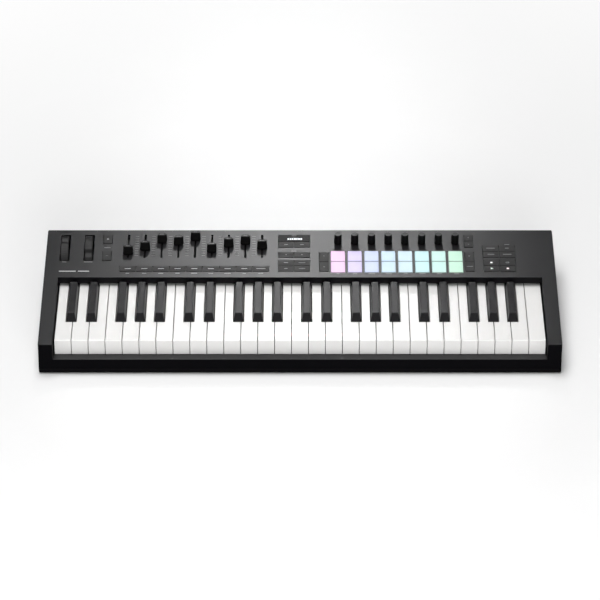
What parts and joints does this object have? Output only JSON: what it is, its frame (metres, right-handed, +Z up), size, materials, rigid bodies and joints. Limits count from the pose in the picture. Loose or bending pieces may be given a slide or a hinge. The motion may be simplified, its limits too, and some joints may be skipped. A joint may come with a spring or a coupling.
{
  "type": "midi keyboard",
  "caption": "Four-octave controller keyboard in a low sloped case with full-length front rail, pitch and modulation wheels, faders, knobs, lit drum pads, button blocks and a small screen.",
  "frame": {"origin": "centre of the case's footprint on the desk, at the bottom of the rubber feet", "axes": "+X to the player's right along the keyboard, +Y to the back, +Z up"},
  "size_m": [0.725, 0.267, 0.0839],
  "materials": {
    "case_top": "fine-textured dark grey moulded plastic",
    "case_bottom": "textured black moulded plastic",
    "white_key": "smooth semi-gloss white",
    "black_key": "satin black",
    "control_cap": "soft-touch black",
    "wheel_rubber": "ribbed soft-touch dark grey",
    "button_rubber": "matte dark grey silicone",
    "pad_silicone": "translucent white silicone, lit from below",
    "screen": "polished black window",
    "inner_plastic": "as moulded",
    "felt": "pressed felt",
    "circuit_board": "green solder mask",
    "contact_rubber": "silicone",
    "zinc_metal": "plated sheet",
    "socket_metal": "plated shell",
    "socket_plastic": "black",
    "foot_rubber": "matte black",
    "screw_steel": "black zinc"
  },
  "bodies": {
    "case": {"top_cover": "case_top", "bottom_cover": "case_bottom", "key_frame": "inner_plastic", "key_felts": "felt", "contact_board": "circuit_board", "dome_strip": "contact_rubber", "panel_board": "circuit_board", "main_board": "circuit_board", "display": "screen", "wheel_bracket": "inner_plastic", "fader_bodies": "zinc_metal", "encoder_bodies": "zinc_metal", "usb_socket": "socket_metal", "pedal_socket": "socket_plastic", "midi_socket": "socket_plastic", "rubber_feet": "foot_rubber", "case_screws": "screw_steel"},
    "white_keys_ceg_1": {"white_keys_ceg_1": "white_key"},
    "white_keys_dfa_1": {"white_keys_dfa_1": "white_key"},
    "black_keys_1": {"black_keys_1": "black_key"},
    "white_keys_ceg_2": {"white_keys_ceg_2": "white_key"},
    "white_keys_dfa_2": {"white_keys_dfa_2": "white_key"},
    "black_keys_2": {"black_keys_2": "black_key"},
    "white_keys_ceg_3": {"white_keys_ceg_3": "white_key"},
    "white_keys_dfa_3": {"white_keys_dfa_3": "white_key"},
    "black_keys_3": {"black_keys_3": "black_key"},
    "white_keys_ceg_4": {"white_keys_ceg_4": "white_key"},
    "white_keys_dfa_4": {"white_keys_dfa_4": "white_key"},
    "black_keys_4": {"black_keys_4": "black_key"},
    "white_key_top": {"white_key_top": "white_key"},
    "fader_cap_1": {"fader_cap_1": "control_cap"},
    "fader_cap_2": {"fader_cap_2": "control_cap"},
    "fader_cap_3": {"fader_cap_3": "control_cap"},
    "fader_cap_4": {"fader_cap_4": "control_cap"},
    "fader_cap_5": {"fader_cap_5": "control_cap"},
    "fader_cap_6": {"fader_cap_6": "control_cap"},
    "fader_cap_7": {"fader_cap_7": "control_cap"},
    "fader_cap_8": {"fader_cap_8": "control_cap"},
    "fader_cap_9": {"fader_cap_9": "control_cap"},
    "knob_1": {"knob_1": "control_cap"},
    "knob_2": {"knob_2": "control_cap"},
    "knob_3": {"knob_3": "control_cap"},
    "knob_4": {"knob_4": "control_cap"},
    "knob_5": {"knob_5": "control_cap"},
    "knob_6": {"knob_6": "control_cap"},
    "knob_7": {"knob_7": "control_cap"},
    "knob_8": {"knob_8": "control_cap"},
    "pitch_wheel": {"pitch_wheel": "wheel_rubber"},
    "mod_wheel": {"mod_wheel": "wheel_rubber"},
    "octave_buttons": {"octave_buttons": "button_rubber"},
    "fader_buttons": {"fader_buttons": "button_rubber"},
    "screen_buttons": {"screen_buttons": "button_rubber"},
    "track_buttons": {"track_buttons": "button_rubber"},
    "mode_buttons": {"mode_buttons": "button_rubber"},
    "pad_bank_buttons": {"pad_bank_buttons": "button_rubber"},
    "scene_buttons": {"scene_buttons": "button_rubber"},
    "knob_bank_buttons": {"knob_bank_buttons": "button_rubber"},
    "transport_buttons_upper": {"transport_buttons_upper": "button_rubber"},
    "transport_buttons_lower": {"transport_buttons_lower": "button_rubber"},
    "pads": {"pads": "pad_silicone"}
  },
  "joints": [
    {"name": "white_keys_ceg_1_hinge", "type": "hinge", "parent": "case", "child": "white_keys_ceg_1", "pos_m": [-0.2585, 0.052, 0.043], "axis": [1, 0, 0], "range_deg": [0, 3.3], "stiffness_Nm_per_rad": 3, "springref_deg": -4.58},
    {"name": "white_keys_dfa_1_hinge", "type": "hinge", "parent": "case", "child": "white_keys_dfa_1", "pos_m": [-0.2585, 0.052, 0.037], "axis": [1, 0, 0], "range_deg": [0, 3.3], "stiffness_Nm_per_rad": 3, "springref_deg": -4.58},
    {"name": "black_keys_1_hinge", "type": "hinge", "parent": "case", "child": "black_keys_1", "pos_m": [-0.2585, 0.052, 0.031], "axis": [1, 0, 0], "range_deg": [0, 3.3], "stiffness_Nm_per_rad": 3, "springref_deg": -4.58},
    {"name": "white_keys_ceg_2_hinge", "type": "hinge", "parent": "case", "child": "white_keys_ceg_2", "pos_m": [-0.094, 0.052, 0.043], "axis": [1, 0, 0], "range_deg": [0, 3.3], "stiffness_Nm_per_rad": 3, "springref_deg": -4.58},
    {"name": "white_keys_dfa_2_hinge", "type": "hinge", "parent": "case", "child": "white_keys_dfa_2", "pos_m": [-0.094, 0.052, 0.037], "axis": [1, 0, 0], "range_deg": [0, 3.3], "stiffness_Nm_per_rad": 3, "springref_deg": -4.58},
    {"name": "black_keys_2_hinge", "type": "hinge", "parent": "case", "child": "black_keys_2", "pos_m": [-0.094, 0.052, 0.031], "axis": [1, 0, 0], "range_deg": [0, 3.3], "stiffness_Nm_per_rad": 3, "springref_deg": -4.58},
    {"name": "white_keys_ceg_3_hinge", "type": "hinge", "parent": "case", "child": "white_keys_ceg_3", "pos_m": [0.0705, 0.052, 0.043], "axis": [1, 0, 0], "range_deg": [0, 3.3], "stiffness_Nm_per_rad": 3, "springref_deg": -4.58},
    {"name": "white_keys_dfa_3_hinge", "type": "hinge", "parent": "case", "child": "white_keys_dfa_3", "pos_m": [0.0705, 0.052, 0.037], "axis": [1, 0, 0], "range_deg": [0, 3.3], "stiffness_Nm_per_rad": 3, "springref_deg": -4.58},
    {"name": "black_keys_3_hinge", "type": "hinge", "parent": "case", "child": "black_keys_3", "pos_m": [0.0705, 0.052, 0.031], "axis": [1, 0, 0], "range_deg": [0, 3.3], "stiffness_Nm_per_rad": 3, "springref_deg": -4.58},
    {"name": "white_keys_ceg_4_hinge", "type": "hinge", "parent": "case", "child": "white_keys_ceg_4", "pos_m": [0.235, 0.052, 0.043], "axis": [1, 0, 0], "range_deg": [0, 3.3], "stiffness_Nm_per_rad": 3, "springref_deg": -4.58},
    {"name": "white_keys_dfa_4_hinge", "type": "hinge", "parent": "case", "child": "white_keys_dfa_4", "pos_m": [0.235, 0.052, 0.037], "axis": [1, 0, 0], "range_deg": [0, 3.3], "stiffness_Nm_per_rad": 3, "springref_deg": -4.58},
    {"name": "black_keys_4_hinge", "type": "hinge", "parent": "case", "child": "black_keys_4", "pos_m": [0.235, 0.052, 0.031], "axis": [1, 0, 0], "range_deg": [0, 3.3], "stiffness_Nm_per_rad": 3, "springref_deg": -4.58},
    {"name": "white_key_top_hinge", "type": "hinge", "parent": "case", "child": "white_key_top", "pos_m": [0.329, 0.052, 0.043], "axis": [1, 0, 0], "range_deg": [0, 3.3], "stiffness_Nm_per_rad": 0.8, "springref_deg": -4.58},
    {"name": "fader_slide_1", "type": "slide", "parent": "case", "child": "fader_cap_1", "axis": [0, 0.9968, 0.0793], "range_m": [-0.0069, 0.0391]},
    {"name": "fader_slide_2", "type": "slide", "parent": "case", "child": "fader_cap_2", "axis": [0, 0.9968, 0.0793], "range_m": [-0.01702, 0.02898]},
    {"name": "fader_slide_3", "type": "slide", "parent": "case", "child": "fader_cap_3", "axis": [0, 0.9968, 0.0793], "range_m": [-0.03496, 0.01104]},
    {"name": "fader_slide_4", "type": "slide", "parent": "case", "child": "fader_cap_4", "axis": [0, 0.9968, 0.0793], "range_m": [-0.0299, 0.0161]},
    {"name": "fader_slide_5", "type": "slide", "parent": "case", "child": "fader_cap_5", "axis": [0, 0.9968, 0.0793], "range_m": [-0.04048, 0.00552]},
    {"name": "fader_slide_6", "type": "slide", "parent": "case", "child": "fader_cap_6", "axis": [0, 0.9968, 0.0793], "range_m": [-0.01242, 0.03358]},
    {"name": "fader_slide_7", "type": "slide", "parent": "case", "child": "fader_cap_7", "axis": [0, 0.9968, 0.0793], "range_m": [-0.02484, 0.02116]},
    {"name": "fader_slide_8", "type": "slide", "parent": "case", "child": "fader_cap_8", "axis": [0, 0.9968, 0.0793], "range_m": [-0.03128, 0.01472]},
    {"name": "fader_slide_9", "type": "slide", "parent": "case", "child": "fader_cap_9", "axis": [0, 0.9968, 0.0793], "range_m": [-0.01978, 0.02622]},
    {"name": "knob_turn_1", "type": "hinge", "parent": "case", "child": "knob_1", "pos_m": [0.0543, 0.10206, 0.06754], "axis": [0, -0.0793, 0.9968], "continuous": true},
    {"name": "knob_turn_2", "type": "hinge", "parent": "case", "child": "knob_2", "pos_m": [0.07825, 0.10206, 0.06754], "axis": [0, -0.0793, 0.9968], "continuous": true},
    {"name": "knob_turn_3", "type": "hinge", "parent": "case", "child": "knob_3", "pos_m": [0.1022, 0.10206, 0.06754], "axis": [0, -0.0793, 0.9968], "continuous": true},
    {"name": "knob_turn_4", "type": "hinge", "parent": "case", "child": "knob_4", "pos_m": [0.12615, 0.10206, 0.06754], "axis": [0, -0.0793, 0.9968], "continuous": true},
    {"name": "knob_turn_5", "type": "hinge", "parent": "case", "child": "knob_5", "pos_m": [0.1501, 0.10206, 0.06754], "axis": [0, -0.0793, 0.9968], "continuous": true},
    {"name": "knob_turn_6", "type": "hinge", "parent": "case", "child": "knob_6", "pos_m": [0.17405, 0.10206, 0.06754], "axis": [0, -0.0793, 0.9968], "continuous": true},
    {"name": "knob_turn_7", "type": "hinge", "parent": "case", "child": "knob_7", "pos_m": [0.198, 0.10206, 0.06754], "axis": [0, -0.0793, 0.9968], "continuous": true},
    {"name": "knob_turn_8", "type": "hinge", "parent": "case", "child": "knob_8", "pos_m": [0.22195, 0.10206, 0.06754], "axis": [0, -0.0793, 0.9968], "continuous": true},
    {"name": "pitch_wheel_turn", "type": "hinge", "parent": "case", "child": "pitch_wheel", "pos_m": [-0.33555, 0.09228, 0.0467], "axis": [1, 0, 0], "range_deg": [-35, 35], "stiffness_Nm_per_rad": 0.02},
    {"name": "mod_wheel_turn", "type": "hinge", "parent": "case", "child": "mod_wheel", "pos_m": [-0.3015, 0.09228, 0.0467], "axis": [-1, 0, 0], "range_deg": [0, 75]},
    {"name": "octave_buttons_press", "type": "slide", "parent": "case", "child": "octave_buttons", "axis": [0, 0.0793, -0.9968], "range_m": [0, 0.0008], "stiffness_N_per_m": 300, "springref_m": -0.002},
    {"name": "fader_buttons_press", "type": "slide", "parent": "case", "child": "fader_buttons", "axis": [0, 0.0793, -0.9968], "range_m": [0, 0.0008], "stiffness_N_per_m": 300, "springref_m": -0.002},
    {"name": "screen_buttons_press", "type": "slide", "parent": "case", "child": "screen_buttons", "axis": [0, 0.0793, -0.9968], "range_m": [0, 0.0008], "stiffness_N_per_m": 300, "springref_m": -0.002},
    {"name": "track_buttons_press", "type": "slide", "parent": "case", "child": "track_buttons", "axis": [0, 0.0793, -0.9968], "range_m": [0, 0.0008], "stiffness_N_per_m": 300, "springref_m": -0.002},
    {"name": "mode_buttons_press", "type": "slide", "parent": "case", "child": "mode_buttons", "axis": [0, 0.0793, -0.9968], "range_m": [0, 0.0008], "stiffness_N_per_m": 300, "springref_m": -0.002},
    {"name": "pad_bank_buttons_press", "type": "slide", "parent": "case", "child": "pad_bank_buttons", "axis": [0, 0.0793, -0.9968], "range_m": [0, 0.0008], "stiffness_N_per_m": 300, "springref_m": -0.002},
    {"name": "scene_buttons_press", "type": "slide", "parent": "case", "child": "scene_buttons", "axis": [0, 0.0793, -0.9968], "range_m": [0, 0.0008], "stiffness_N_per_m": 300, "springref_m": -0.002},
    {"name": "knob_bank_buttons_press", "type": "slide", "parent": "case", "child": "knob_bank_buttons", "axis": [0, 0.0793, -0.9968], "range_m": [0, 0.0008], "stiffness_N_per_m": 300, "springref_m": -0.002},
    {"name": "transport_buttons_upper_press", "type": "slide", "parent": "case", "child": "transport_buttons_upper", "axis": [0, 0.0793, -0.9968], "range_m": [0, 0.0008], "stiffness_N_per_m": 300, "springref_m": -0.002},
    {"name": "transport_buttons_lower_press", "type": "slide", "parent": "case", "child": "transport_buttons_lower", "axis": [0, 0.0793, -0.9968], "range_m": [0, 0.0008], "stiffness_N_per_m": 300, "springref_m": -0.002},
    {"name": "pads_press", "type": "slide", "parent": "case", "child": "pads", "axis": [0, 0.0793, -0.9968], "range_m": [0, 0.001], "stiffness_N_per_m": 800, "springref_m": -0.003}
  ]
}
